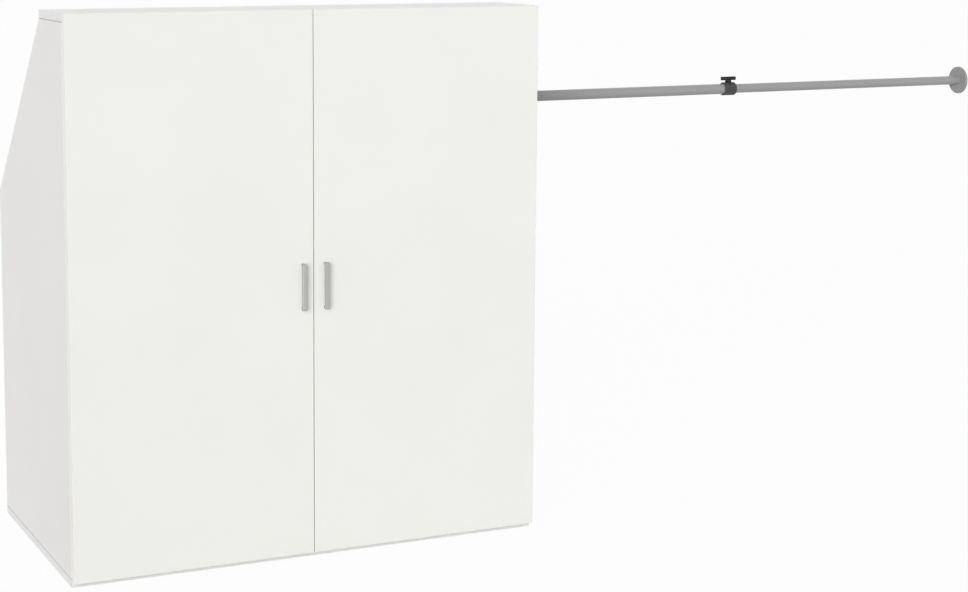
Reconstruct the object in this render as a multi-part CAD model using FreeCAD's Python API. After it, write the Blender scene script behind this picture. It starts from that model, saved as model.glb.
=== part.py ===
import FreeCAD
import Part
import math
import os

# Overall sizes of the wardrobe, in millimetres
width = 1080.0
height = 1200.0
depth = 600.0
top_depth = 200.0
knee_height = 768.0

# Boards of the carcass
board = 18.0
back_thickness = 3.0
rebate_width = 10.0
batten_height = 60.0
panel_clearance = 0.5
batten_dowel_shares = (0.25, 0.75)

# Doors, lying on the carcass front with a small stand-off
door_thickness = 16.0
door_standoff = 2.0
door_reveal = 0.5
door_gap = 2.0
door_bottom = 12.0
bumper_diameter = 5.0
bumper_height = 1.8
bumper_offset = 22.0

# Door handles
handle_offset = 26.0
handle_spacing = 96.0
handle_foot = 6.0
handle_width = 10.0
handle_bar = 6.5
handle_projection = 15.0
handle_round = 1.6
handle_screw_diameter = 4.0
handle_screw_depth = 8.0
handle_head_diameter = 8.0
handle_head_height = 2.4

# Clothes rail inside and its extension to a wall on the right
rail_setback = 227.0
rail_height = 976.0
tube_diameter = 25.0
slim_tube_diameter = 22.0
tube_wall = 1.2
sliding_gap = 0.3
clamp_reach = 656.0
wall_reach = 1372.0
tube_overlap = 110.0
flange_diameter = 70.0
flange_thickness = 5.0
flange_round = 1.5
flange_hole_circle = 50.0
flange_hole_diameter = 4.5
flange_hole_count = 3
board_screw_hole = 4.0
board_screw_diameter = 3.6
board_screw_length = 16.0
spigot_length = 25.0
socket_diameter = 52.0
socket_thickness = 3.0
socket_collar_diameter = 30.0
socket_collar_length = 14.0
socket_hole_spacing = 40.0
socket_screw_diameter = 4.0
socket_screw_depth = 12.0
socket_head_diameter = 7.0
socket_head_height = 1.8

# Clamp on the end of the wider tube, with its wing screw
sleeve_diameter = 32.4
sleeve_back = 16.5
sleeve_front = 16.0
sleeve_seat = 6.0
sleeve_round = 1.5
boss_diameter = 17.0
boss_top = 17.5
wing_neck_diameter = 14.5
wing_bottom = 21.2
wing_thickness = 9.0
wing_span = 40.5
wing_depth = 9.0
wing_round = 2.0
screw_diameter = 6.0
pad_diameter = 6.0
pad_height = 2.0

# Knock-down fittings in the corners
cam_diameter = 15.0
cam_depth = 12.5
cam_distance = 34.0
top_cam_margin = 40.0
bottom_cam_margin = 60.0
cam_slot = 2.0
bolt_diameter = 7.0
bolt_anchor = 11.0
dowel_diameter = 8.0
dowel_length = 28.0
dowel_board_depth = 13.0
top_dowel_margin = 70.0
bottom_dowel_margin = 130.0
fit_gap = 0.1

# Concealed hinges: u runs inward from the side's inner face, v forward from the carcass front
hinge_end_distance = 100.0
hinges_per_door = 3
cup_diameter = 35.0
cup_depth = 13.0
cup_wall = 0.8
cup_floor = 0.6
cup_edge_distance = 22.0
cup_flange_diameter = 39.0
cup_flange_thickness = 1.0
cup_ear_spacing = 45.0
cup_ear_offset = 9.5
cup_ear_radius = 5.0
cup_ear_hole = 4.0
cup_notch_depth = 3.5
cup_screw_depth = 11.0
cup_head_diameter = 7.0
cup_head_height = 1.5
outer_link_root = (13.2, -5.2)
outer_link_bend = (2.4, 12.8)
outer_link_tip_from_edge = 8.9
outer_link_tip_depth = 8.3
inner_link_root = (30.0, -9.0)
inner_link_bend = (1.8, 8.9)
inner_link_tip_from_edge = 11.1
inner_link_tip_depth = 4.5
inner_pin_shift = (-0.57, 0.55)
open_pivot_play = 0.95
outer_link_half_width = 1.2
outer_link_eye = 2.0
outer_link_root_eye = 2.5
inner_link_half_width = 1.6
inner_link_eye = 3.3
inner_link_level = 3.0
outer_link_levels = (4.6, 6.4)
cheek_levels = (6.7, 8.2)
inner_lug_levels = (3.3, 4.3)
outer_lug_levels = (6.7, 8.7)
lug_radius = 2.0
pin_radius = 1.1
pin_fit = 0.06
cheek_eye = 3.6
plate_length = 46.0
plate_setback = 16.0
plate_line = 37.0
plate_rib_height = 8.0
plate_rib_half = 5.2
plate_thickness = 2.0
plate_wing_width = 12.0
plate_hole_spacing = 32.0
plate_hole_diameter = 5.0
plate_screw_depth = 12.0
plate_head_diameter = 8.5
plate_head_height = 2.0
arm_web = 1.5
arm_gap = 0.4
arm_lift = 1.0
arm_nose = 2.0

# Planes worked out from the sizes above
carcass_depth = depth - door_thickness - door_standoff
front = -carcass_depth / 2
rear = carcass_depth / 2
door_back = front - door_standoff
door_face = door_back - door_thickness
top_rear = door_face + top_depth
top_under = height - board
half_width = width / 2
inner_half = half_width - board
door_edge = half_width - door_reveal
door_top = height - door_reveal
door_middle = (door_bottom + door_top) / 2
rail_y = door_face + rail_setback
clamp_x = half_width + clamp_reach
wall_x = half_width + wall_reach
slope_run = rear - top_rear
slope_rise = top_under - knee_height
slope_length = math.hypot(slope_run, slope_rise)
hinge_heights = [
    door_bottom + hinge_end_distance
    + i * (door_top - door_bottom - 2 * hinge_end_distance) / (hinges_per_door - 1)
    for i in range(hinges_per_door)
]
door_edge_u = board - door_reveal
cup_u = cup_edge_distance - door_edge_u

vector = FreeCAD.Vector
x_axis = vector(1, 0, 0)


def save(name, *solids):
    shape = solids[0] if len(solids) == 1 else Part.makeCompound(list(solids))
    shape.exportStep("parts/" + name + ".step")


def block(x_range, y_range, z_range):
    size = [high - low for low, high in (x_range, y_range, z_range)]
    return Part.makeBox(*size, vector(x_range[0], y_range[0], z_range[0]))


def rod(diameter, start, end):
    along = vector(*end) - vector(*start)
    return Part.makeCylinder(diameter / 2, along.Length, vector(*start), along)


def depth_rod(diameter, x, z, y_start, y_end):
    return rod(diameter, (x, y_start, z), (x, y_end, z))


def rail_rod(diameter, x_start, x_end):
    return rod(diameter, (x_start, rail_y, rail_height), (x_end, rail_y, rail_height))


def polygon_face(points):
    return Part.Face(Part.makePolygon(points + points[:1]))


def cross_prism(outline, x_start, x_end):
    face = polygon_face([vector(x_start, y, z) for y, z in outline])
    return face.extrude(vector(x_end - x_start, 0, 0))


def plan_prism(outline, z_start, z_end):
    face = polygon_face([vector(x, y, z_start) for x, y in outline])
    return face.extrude(vector(0, 0, z_end - z_start))


def revolved(profile, centre):
    points = [vector(x, centre[1] + r, centre[2]) for x, r in profile]
    return polygon_face(points).revolve(vector(*centre), x_axis, 360)


def mirrored(shape):
    return shape.mirror(vector(0, 0, 0), x_axis)


# Outline of the back: upright to the knee, then leaning forward to the top board
def slope_y(inset, z):
    start_y = rear - inset * slope_rise / slope_length
    start_z = knee_height - inset * slope_run / slope_length
    return start_y - (z - start_z) * slope_run / slope_rise


def knee_z(inset):
    start_y = rear - inset * slope_rise / slope_length
    start_z = knee_height - inset * slope_run / slope_length
    return start_z + (start_y - rear + inset) * slope_rise / slope_run


def side_outline(inset):
    return [
        (front, board),
        (rear - inset, board),
        (rear - inset, knee_z(inset)),
        (slope_y(inset, top_under), top_under),
        (front, top_under),
    ]


# Places of the corner fittings: depth, height, height of the joint, and the way to the lying board
corner_x = half_width - board / 2


def corner_spots(top_margin, bottom_margin, distance):
    low = [(y, board + distance, board, -1) for y in (front + bottom_margin, rear - bottom_margin)]
    high = [(y, top_under - distance, top_under, 1) for y in (front + top_margin, top_rear - top_margin)]
    return low + high


cam_spots = corner_spots(top_cam_margin, bottom_cam_margin, cam_distance)
dowel_spots = corner_spots(top_dowel_margin, bottom_dowel_margin, dowel_length - dowel_board_depth)


def cam_seat(y, z):
    return rod(cam_diameter + 2 * fit_gap, (inner_half, y, z), (inner_half + cam_depth + fit_gap, y, z))


def cam_disc(y, z, way):
    disc = rod(cam_diameter, (inner_half, y, z), (inner_half + cam_depth, y, z))
    bolt_way = rod(bolt_diameter + 4 * fit_gap, (corner_x, y, z), (corner_x, y, z + way * cam_diameter))
    slot = block(
        (inner_half, inner_half + cam_slot),
        (y - cam_slot / 2, y + cam_slot / 2),
        (z - cam_diameter / 3, z + cam_diameter / 3),
    )
    return disc.cut([bolt_way, slot])


def bolt(y, z, joint_z, way, gap=0.0):
    end = joint_z + way * (bolt_anchor + gap)
    return rod(bolt_diameter + 2 * gap, (corner_x, y, z), (corner_x, y, end))


def upright_dowel(y, z, joint_z, way, gap=0.0):
    end = joint_z + way * (dowel_board_depth + gap)
    return rod(dowel_diameter + 2 * gap, (corner_x, y, z - way * gap), (corner_x, y, end))


def corner_dowels(gap=0.0):
    return [upright_dowel(*spot, gap) for spot in dowel_spots]


def level_dowel(y, z, gap=0.0):
    start = inner_half - dowel_length + dowel_board_depth - gap
    return rod(dowel_diameter + 2 * gap, (start, y, z), (inner_half + dowel_board_depth + gap, y, z))


knee_batten_front = rear - back_thickness - board
knee_batten_bottom = knee_z(back_thickness) - batten_height
top_batten_drop = batten_height * slope_rise / slope_length


def batten_dowels(gap=0.0):
    spots = []
    for share in batten_dowel_shares:
        spots.append((rear - back_thickness - board / 2, knee_batten_bottom + share * batten_height))
        z = top_under - share * top_batten_drop
        spots.append((slope_y(back_thickness + board / 2, z), z))
    return [level_dowel(y, z, gap) for y, z in spots]


def plate_screw_seats():
    seats = []
    for z in hinge_heights:
        for side in (-1, 1):
            spot = (front + plate_line, z + side * plate_hole_spacing / 2)
            end = (inner_half + plate_screw_depth, *spot)
            seats.append(rod(plate_hole_diameter, (inner_half, *spot), end))
    return seats


socket_hole_spots = [
    (rail_y - socket_hole_spacing / 2, rail_height),
    (rail_y + socket_hole_spacing / 2, rail_height),
]


def socket_screw_seats():
    depth_end = inner_half + socket_screw_depth
    return [rod(socket_screw_diameter, (inner_half, *spot), (depth_end, *spot)) for spot in socket_hole_spots]


def flange_spots():
    spots = []
    for i in range(flange_hole_count):
        angle = math.pi / 2 + i * 2 * math.pi / flange_hole_count
        y = rail_y + flange_hole_circle / 2 * math.cos(angle)
        z = rail_height + flange_hole_circle / 2 * math.sin(angle)
        spots.append((y, z))
    return spots


def side_panel():
    skin = cross_prism(side_outline(0), inner_half + rebate_width, half_width)
    core = cross_prism(side_outline(back_thickness), inner_half, inner_half + rebate_width)
    tools = plate_screw_seats() + socket_screw_seats()
    for y, z, joint_z, way in cam_spots:
        tools.append(cam_seat(y, z))
        tools.append(bolt(y, z, joint_z, way, fit_gap))
    tools += corner_dowels(fit_gap) + batten_dowels(fit_gap)
    return skin.fuse(core).removeSplitter().cut(tools)


def both_sides(shapes):
    return shapes + [mirrored(shape) for shape in shapes]


def carcass_boards():
    right_side = side_panel()
    left_side = mirrored(right_side)
    pilot_end = half_width + flange_thickness - board_screw_length - fit_gap
    pilots = [
        rod(board_screw_diameter + 2 * fit_gap, (pilot_end, y, z), (half_width, y, z))
        for y, z in flange_spots()
    ]
    save("left_side_panel", left_side)
    save("right_side_panel", right_side.cut(pilots))

    fittings = corner_dowels(fit_gap)
    fittings += [bolt(y, z, joint_z, way, fit_gap) for y, z, joint_z, way in cam_spots]
    bottom = block((-half_width, half_width), (front, rear), (0, board))
    rebate_half = inner_half + rebate_width
    bottom_rebate = block(
        (-rebate_half, rebate_half), (rear - back_thickness, rear), (board - rebate_width, board)
    )
    save("bottom_board", bottom.cut([bottom_rebate] + both_sides(fittings)))
    top = block((-half_width, half_width), (front, top_rear), (top_under, height))
    save("top_board", top.cut(both_sides(fittings)))


def back_boards():
    half = inner_half + rebate_width - panel_clearance
    lower = [
        (rear - back_thickness, board - rebate_width),
        (rear, board - rebate_width),
        (rear, knee_height),
        (rear - back_thickness, knee_z(back_thickness)),
    ]
    save("lower_back_panel", cross_prism(lower, -half, half))
    sloped = [
        (rear, knee_height),
        (top_rear, top_under),
        (slope_y(back_thickness, top_under), top_under),
        (rear - back_thickness, knee_z(back_thickness)),
    ]
    save("sloped_back_panel", cross_prism(sloped, -half, half))

    seats = both_sides(batten_dowels(fit_gap))
    knee = [
        (knee_batten_front, knee_batten_bottom),
        (rear - back_thickness, knee_batten_bottom),
        (rear - back_thickness, knee_z(back_thickness)),
        (knee_batten_front, knee_z(back_thickness) + board * slope_rise / slope_run),
    ]
    save("knee_batten", cross_prism(knee, -inner_half, inner_half).cut(seats))
    inner = back_thickness + board
    low_z = top_under - top_batten_drop
    upper = [
        (slope_y(back_thickness, top_under), top_under),
        (slope_y(inner, top_under), top_under),
        (slope_y(inner, low_z), low_z),
        (slope_y(back_thickness, low_z), low_z),
    ]
    save("top_batten", cross_prism(upper, -inner_half, inner_half).cut(seats))


def corner_fittings():
    discs = [cam_disc(y, z, way) for y, z, joint_z, way in cam_spots]
    bolts = [bolt(y, z + way * fit_gap, joint_z, way) for y, z, joint_z, way in cam_spots]
    save("cam_discs", *both_sides(discs))
    save("cam_bolts", *both_sides(bolts))
    save("wooden_dowels", *both_sides(corner_dowels() + batten_dowels()))


# Hinge pieces are drawn for the left side at height zero and copied up the door
def plan(point):
    return (-inner_half + point[0], front - point[1])


def plan_rod(diameter, point, z_start, z_end):
    x, y = plan(point)
    return rod(diameter, (x, y, z_start), (x, y, z_end))


def plan_bar(start, end, half, z_start, z_end):
    along = vector(end[0] - start[0], end[1] - start[1], 0)
    offset = vector(-along.y, along.x, 0) * (half / along.Length)
    corners = [
        (start[0] + offset.x, start[1] + offset.y),
        (end[0] + offset.x, end[1] + offset.y),
        (end[0] - offset.x, end[1] - offset.y),
        (start[0] - offset.x, start[1] - offset.y),
    ]
    return plan_prism([plan(corner) for corner in corners], z_start, z_end)


def level_pair(levels):
    return [levels, (-levels[1], -levels[0])]


def bent_link(points, half, eyes, holes, z_start, z_end):
    link = plan_rod(2 * half, points[1], z_start, z_end)
    for start, end in zip(points, points[1:]):
        link = link.fuse(plan_bar(start, end, half, z_start, z_end))
    for point, eye in zip((points[0], points[-1]), eyes):
        link = link.fuse(plan_rod(2 * eye, point, z_start, z_end))
    bores = [
        plan_rod(2 * hole, point, z_start, z_end)
        for point, hole in zip((points[0], points[-1]), holes)
    ]
    return link.removeSplitter().cut(bores)


outer_link_tip = (outer_link_tip_from_edge - door_edge_u, door_standoff + outer_link_tip_depth)
inner_link_tip = (inner_link_tip_from_edge - door_edge_u, door_standoff + inner_link_tip_depth)
inner_pin = (inner_link_tip[0] + inner_pin_shift[0], inner_link_tip[1] + inner_pin_shift[1])


def outer_link():
    points = [outer_link_root, outer_link_bend, outer_link_tip]
    eyes = [outer_link_root_eye, outer_link_eye]
    holes = [pin_radius + pin_fit, pin_radius + pin_fit]
    return [
        bent_link(points, outer_link_half_width, eyes, holes, *levels)
        for levels in level_pair(outer_link_levels)
    ]


def inner_link():
    points = [inner_link_root, inner_link_bend, inner_link_tip]
    eyes = [inner_link_eye, inner_link_eye]
    holes = [pin_radius + pin_fit, pin_radius + open_pivot_play]
    level = inner_link_level
    return [bent_link(points, inner_link_half_width, eyes, holes, -level, level)]


def arm_pins():
    inner, outer = outer_link_levels[0], cheek_levels[1]
    stubs = [plan_rod(2 * pin_radius, outer_link_root, *span) for span in level_pair((inner, outer))]
    return stubs + [plan_rod(2 * pin_radius, inner_link_root, -outer, outer)]


def cup_pins():
    stub_span = (outer_link_levels[0], outer_lug_levels[1])
    stubs = [plan_rod(2 * pin_radius, outer_link_tip, *span) for span in level_pair(stub_span)]
    across = inner_lug_levels[1]
    return stubs + [plan_rod(2 * pin_radius, inner_pin, -across, across)]


cup_x, cup_y = plan((cup_u, door_standoff))
cup_bottom = cup_y - cup_depth + fit_gap
cup_outer = cup_diameter - 2 * fit_gap
cup_ear_x = cup_x + cup_ear_offset
cup_ear_heights = (-cup_ear_spacing / 2, cup_ear_spacing / 2)


def cup_flange():
    top = cup_y + cup_flange_thickness
    plate = rod(cup_flange_diameter, (cup_x, cup_y, 0), (cup_x, top, 0))
    bridge = block(
        (cup_ear_x - cup_ear_radius, cup_ear_x + cup_ear_radius), (cup_y, top), cup_ear_heights
    )
    ears = [rod(2 * cup_ear_radius, (cup_ear_x, cup_y, z), (cup_ear_x, top, z)) for z in cup_ear_heights]
    holes = [rod(cup_ear_hole, (cup_ear_x, cup_y, z), (cup_ear_x, top, z)) for z in cup_ear_heights]
    return plate.fuse([bridge] + ears).removeSplitter().cut(holes)


def cup_lugs():
    envelope = rod(cup_outer - cup_wall, (cup_x, cup_y, 0), (cup_x, cup_bottom, 0))
    floor_v = front - cup_bottom - cup_floor / 2
    pieces = []
    for pivot, levels in ((outer_link_tip, outer_lug_levels), (inner_pin, inner_lug_levels)):
        for span in level_pair(levels):
            pieces.append(plan_rod(2 * lug_radius, pivot, *span))
            pieces.append(plan_bar(pivot, (pivot[0], floor_v), lug_radius, *span))
    return [piece.common(envelope) for piece in pieces]


def hinge_cup():
    body = rod(cup_outer, (cup_x, cup_y, 0), (cup_x, cup_bottom, 0)).fuse(cup_flange())
    rim = cup_y + cup_flange_thickness
    hollow = rod(cup_outer - 2 * cup_wall, (cup_x, rim, 0), (cup_x, cup_bottom + cup_floor, 0))
    notch_half = outer_lug_levels[0]
    notch_x = (cup_x - cup_flange_diameter / 2, cup_x - cup_flange_diameter / 4)
    notch = block(notch_x, (cup_y - cup_notch_depth, rim), (-notch_half, notch_half))
    return body.removeSplitter().cut([hollow, notch]).fuse(cup_lugs()).cut(cup_pins())


def headed_screw(shank, head_diameter, head_height, head_base, head_way):
    head_end = head_base + head_way * head_height
    head = rod(head_diameter, tuple(head_base), tuple(head_end))
    rim = [edge for edge in head.Edges if (edge.BoundBox.Center - head_end).Length < fit_gap]
    return shank.fuse(head.makeChamfer(head_height / 3, rim))


def cup_screws():
    pieces = []
    for z in cup_ear_heights:
        top = vector(cup_ear_x, cup_y + cup_flange_thickness, z)
        shank = rod(cup_ear_hole - 4 * fit_gap, tuple(top), (cup_ear_x, cup_y - cup_screw_depth, z))
        pieces.append(headed_screw(shank, cup_head_diameter, cup_head_height, top, vector(0, 1, 0)))
    return pieces


def hinge_plate():
    x = -inner_half
    y_near = front + plate_setback
    y_line = front + plate_line
    top = x + plate_thickness
    rib = block((x, x + plate_rib_height), (y_near, y_near + plate_length), (-plate_rib_half, plate_rib_half))
    wing_half = plate_hole_spacing / 2
    wings = block(
        (x, top), (y_line - plate_wing_width / 2, y_line + plate_wing_width / 2), (-wing_half, wing_half)
    )
    ends = [rod(plate_wing_width, (x, y_line, z), (top, y_line, z)) for z in (-wing_half, wing_half)]
    holes = [rod(plate_hole_diameter, (x, y_line, z), (top, y_line, z)) for z in (-wing_half, wing_half)]
    return rib.fuse([wings] + ends).removeSplitter().cut(holes)


def plate_screws():
    pieces = []
    y = front + plate_line
    for z in (-plate_hole_spacing / 2, plate_hole_spacing / 2):
        top = vector(-inner_half + plate_thickness, y, z)
        tip = (-inner_half - plate_screw_depth + fit_gap, y, z)
        shank = rod(plate_hole_diameter - 2 * fit_gap, tuple(top), tip)
        pieces.append(headed_screw(shank, plate_head_diameter, plate_head_height, top, x_axis))
    return pieces


def cheek_outline():
    web_u = plate_rib_height + arm_gap
    tail_v = -plate_setback - plate_length
    neck_v = -plate_setback - plate_length / 3
    root_u, root_v = inner_link_root
    return [
        (plate_thickness + arm_lift, tail_v),
        (web_u + arm_web, tail_v),
        (web_u + arm_web, neck_v),
        (root_u, root_v - cheek_eye),
        (root_u, root_v + cheek_eye),
        (outer_link_root[0], outer_link_root[1] + cheek_eye),
        (outer_link_root[0] - cheek_eye, outer_link_root[1]),
        (plate_thickness + arm_lift, -plate_setback - arm_nose),
    ]


def hinge_arm():
    pieces = []
    for levels in level_pair(cheek_levels):
        pieces.append(plan_prism([plan(point) for point in cheek_outline()], *levels))
        pieces.append(plan_rod(2 * cheek_eye, inner_link_root, *levels))
        pieces.append(plan_rod(2 * cheek_eye, outer_link_root, *levels))
    web_u = plate_rib_height + arm_gap
    x, y_tail = plan((web_u, -plate_setback - plate_length))
    y_neck = front + plate_setback + plate_length / 3
    reach = cheek_levels[1]
    web = block((x, x + arm_web), (y_neck, y_tail), (-reach, reach))
    return web.fuse(pieces).removeSplitter().cut(arm_pins())


def at_each_hinge(pieces):
    copies = []
    for z in hinge_heights:
        for piece in pieces:
            copies.append(piece.translated(vector(0, 0, z)))
    return copies


def save_pair(name, left_shapes):
    save("left_" + name, *left_shapes)
    save("right_" + name, *[mirrored(shape) for shape in left_shapes])


def hinges():
    save_pair("hinge_plates", at_each_hinge([hinge_plate()]))
    save_pair("hinge_plate_screws", at_each_hinge(plate_screws()))
    save_pair("hinge_arms", at_each_hinge([hinge_arm()]))
    save_pair("hinge_arm_pins", at_each_hinge(arm_pins()))
    save_pair("hinge_outer_links", at_each_hinge(outer_link()))
    save_pair("hinge_inner_links", at_each_hinge(inner_link()))
    save_pair("hinge_cups", at_each_hinge([hinge_cup()]))
    save_pair("hinge_cup_pins", at_each_hinge(cup_pins()))
    save_pair("hinge_cup_screws", at_each_hinge(cup_screws()))


# Door pieces, drawn for the left door
def handle_heights():
    return [door_middle - handle_spacing / 2, door_middle + handle_spacing / 2]


def door_panel():
    panel = block((-door_edge, -door_gap / 2), (door_face, door_back), (door_bottom, door_top))
    tools = []
    screw_end = cup_y - cup_screw_depth - fit_gap
    for z in hinge_heights:
        tools.append(depth_rod(cup_diameter, cup_x, z, cup_y, cup_y - cup_depth))
        for ear_z in cup_ear_heights:
            tools.append(depth_rod(cup_ear_hole - 2 * fit_gap, cup_ear_x, z + ear_z, cup_y, screw_end))
    for z in handle_heights():
        tools.append(depth_rod(handle_screw_diameter + 4 * fit_gap, -handle_offset, z, door_face, door_back))
    return panel.cut(tools)


def handle_post(z):
    half = handle_foot / 2
    post = block(
        (-handle_offset - half, -handle_offset + half),
        (door_face - handle_projection + handle_bar - handle_round, door_face),
        (z - half, z + half),
    )
    upright = [edge for edge in post.Edges if edge.BoundBox.YLength > handle_foot]
    return post.makeFillet(handle_round / 2, upright)


def handle():
    half_length = (handle_spacing + handle_foot) / 2
    half = handle_width / 2
    outer = door_face - handle_projection
    bar = block(
        (-handle_offset - half, -handle_offset + half),
        (outer, outer + handle_bar),
        (door_middle - half_length, door_middle + half_length),
    )
    bar = bar.makeFillet(handle_round, bar.Edges)
    feet = [handle_post(z) for z in handle_heights()]
    bores = [
        depth_rod(handle_screw_diameter, -handle_offset, z, door_face - handle_screw_depth, door_face)
        for z in handle_heights()
    ]
    return bar.fuse(feet).removeSplitter().cut(bores)


def handle_screw(z):
    base = vector(-handle_offset, door_back, z)
    tip = (-handle_offset, door_face - handle_screw_depth, z)
    shank = rod(handle_screw_diameter, tuple(base), tip)
    return headed_screw(shank, handle_head_diameter, handle_head_height, base, vector(0, 1, 0))


def bumper(z):
    return depth_rod(bumper_diameter, -bumper_offset, z, door_back, door_back + bumper_height)


def doors():
    save_pair("door_panel", [door_panel()])
    save_pair("handle", [handle()])
    save_pair("handle_screws", [handle_screw(z) for z in handle_heights()])
    low = (door_bottom + board) / 2
    high = top_under + board / 2
    save_pair("door_bumpers", [bumper(low), bumper(high)])


# Clothes rails and the telescopic arm to the wall
def tube(diameter, x_start, x_end):
    return rail_rod(diameter, x_start, x_end).cut(rail_rod(diameter - 2 * tube_wall, x_start, x_end))


def rail_socket():
    x = inner_half
    radius = socket_diameter / 2
    collar = socket_collar_diameter / 2
    profile = [
        (x, 0),
        (x, radius),
        (x - socket_thickness, radius - socket_thickness / 2),
        (x - socket_thickness, collar),
        (x - socket_collar_length, collar),
        (x - socket_collar_length, tube_diameter / 2 + fit_gap),
        (x - socket_thickness, tube_diameter / 2 + fit_gap),
        (x - socket_thickness, 0),
    ]
    socket = revolved(profile, (x, rail_y, rail_height))
    holes = [
        rod(flange_hole_diameter, (x - socket_thickness, *spot), (x, *spot)) for spot in socket_hole_spots
    ]
    return socket.cut(holes)


def socket_screws():
    pieces = []
    for spot in socket_hole_spots:
        base = vector(inner_half - socket_thickness, *spot)
        tip = (inner_half + socket_screw_depth - fit_gap, *spot)
        shank = rod(socket_screw_diameter - 2 * fit_gap, tuple(base), tip)
        pieces.append(headed_screw(shank, socket_head_diameter, socket_head_height, base, x_axis * -1))
    return pieces


def round_edges(shape, x):
    circles = [edge for edge in shape.Edges if len(edge.Vertexes) == 1]
    return [edge for edge in circles if abs(edge.BoundBox.Center.x - x) < fit_gap]


def flange(x_face, way, spigot_diameter, hole_diameter):
    free = x_face + way * flange_thickness
    disc = rail_rod(flange_diameter, x_face, free)
    disc = disc.makeFillet(flange_round, round_edges(disc, free))
    spigot = rail_rod(spigot_diameter, free, free + way * spigot_length)
    sink_depth = hole_diameter / 2
    holes = []
    for y, z in flange_spots():
        holes.append(rod(hole_diameter, (x_face, y, z), (free, y, z)))
        sink_start = vector(free - way * sink_depth, y, z)
        holes.append(Part.makeCone(sink_depth, 2 * sink_depth, sink_depth, sink_start, x_axis * way))
    return disc.fuse(spigot).cut(holes)


def flange_screw(y, z):
    head_end = half_width + flange_thickness
    sink_depth = board_screw_hole / 2
    radius = board_screw_diameter / 2
    head_start = vector(head_end - sink_depth, y, z)
    shank = rod(board_screw_diameter, (head_end - board_screw_length, y, z), tuple(head_start))
    return shank.fuse(Part.makeCone(radius, radius + sink_depth, sink_depth, head_start, x_axis))


def clamp_sleeve():
    start = clamp_x - sleeve_back
    end = clamp_x + sleeve_front
    axis = (clamp_x, rail_y, rail_height)
    boss_end = (clamp_x, rail_y, rail_height + boss_top)
    body = rail_rod(sleeve_diameter, start, end)
    body = body.makeFillet(sleeve_round, round_edges(body, end))
    body = body.fuse(rod(boss_diameter, axis, boss_end)).removeSplitter()
    wide = rail_rod(tube_diameter + 2 * fit_gap, start, clamp_x + sleeve_seat + fit_gap)
    slim = rail_rod(slim_tube_diameter + 2 * sliding_gap, start, end)
    thread = rod(screw_diameter + 2 * fit_gap, axis, boss_end)
    return body.cut([wide, slim, thread])


def wing_screw():
    base = rail_height + slim_tube_diameter / 2 + sliding_gap + pad_height
    neck_bottom = rail_height + boss_top + sliding_gap
    bar_bottom = rail_height + wing_bottom
    shank = rod(screw_diameter, (clamp_x, rail_y, base), (clamp_x, rail_y, bar_bottom))
    neck = rod(wing_neck_diameter, (clamp_x, rail_y, neck_bottom), (clamp_x, rail_y, bar_bottom))
    bar = block(
        (clamp_x - wing_span / 2, clamp_x + wing_span / 2),
        (rail_y - wing_depth / 2, rail_y + wing_depth / 2),
        (bar_bottom, bar_bottom + wing_thickness),
    )
    bar = bar.makeFillet(wing_round, bar.Edges)
    return shank.fuse([neck, bar]).removeSplitter()


def pressure_pad():
    low = rail_height + slim_tube_diameter / 2 + sliding_gap
    return rod(pad_diameter, (clamp_x, rail_y, low), (clamp_x, rail_y, low + pad_height))


def rails():
    hanging = inner_half - socket_thickness
    save("hanging_rail", tube(tube_diameter, -hanging, hanging))
    save_pair("rail_socket", [mirrored(rail_socket())])
    save("rail_socket_screws", *both_sides(socket_screws()))

    wide = tube(tube_diameter, half_width + flange_thickness, clamp_x + sleeve_seat)
    pad_way_end = (clamp_x, rail_y, rail_height + tube_diameter)
    pad_way = rod(screw_diameter + 2 * fit_gap, (clamp_x, rail_y, rail_height), pad_way_end)
    save("outer_rail_tube", wide.cut(pad_way))
    wide_bore = tube_diameter - 2 * tube_wall - 2 * fit_gap
    save("cabinet_flange", flange(half_width, 1, wide_bore, board_screw_hole))
    save("cabinet_flange_screws", *[flange_screw(y, z) for y, z in flange_spots()])
    save("clamp_sleeve", clamp_sleeve())
    save("wing_screw", wing_screw())
    save("pressure_pad", pressure_pad())
    save("inner_rail_tube", tube(slim_tube_diameter, clamp_x - tube_overlap, wall_x - flange_thickness))
    slim_bore = slim_tube_diameter - 2 * tube_wall - 2 * fit_gap
    save("wall_flange", flange(wall_x, -1, slim_bore, flange_hole_diameter))


os.makedirs("parts", exist_ok=True)
carcass_boards()
back_boards()
corner_fittings()
hinges()
doors()
rails()
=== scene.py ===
import bpy
import math
import numpy as np
from mathutils import Matrix, Vector


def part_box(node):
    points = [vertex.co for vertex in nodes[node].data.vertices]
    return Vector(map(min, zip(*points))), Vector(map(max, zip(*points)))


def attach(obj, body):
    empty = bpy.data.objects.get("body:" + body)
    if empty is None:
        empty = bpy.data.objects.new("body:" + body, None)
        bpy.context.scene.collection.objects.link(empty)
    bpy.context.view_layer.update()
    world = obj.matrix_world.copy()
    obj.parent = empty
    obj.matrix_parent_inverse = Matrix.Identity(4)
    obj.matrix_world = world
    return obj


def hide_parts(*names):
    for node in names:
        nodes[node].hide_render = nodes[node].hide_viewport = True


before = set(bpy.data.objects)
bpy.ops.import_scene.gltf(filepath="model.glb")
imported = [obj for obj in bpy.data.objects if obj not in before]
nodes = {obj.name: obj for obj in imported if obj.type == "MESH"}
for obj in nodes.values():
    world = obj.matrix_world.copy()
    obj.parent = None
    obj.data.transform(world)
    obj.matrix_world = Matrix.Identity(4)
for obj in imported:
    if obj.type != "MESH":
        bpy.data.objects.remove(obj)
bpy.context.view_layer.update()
scene = bpy.context.scene
scene.view_settings.view_transform = "Standard"


# boxes of the CAD solids, in metres: new boards, screws, nails and the painted seam shade lines follow them
def middleOf(name):
    low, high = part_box(name)
    return (low + high) / 2


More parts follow.
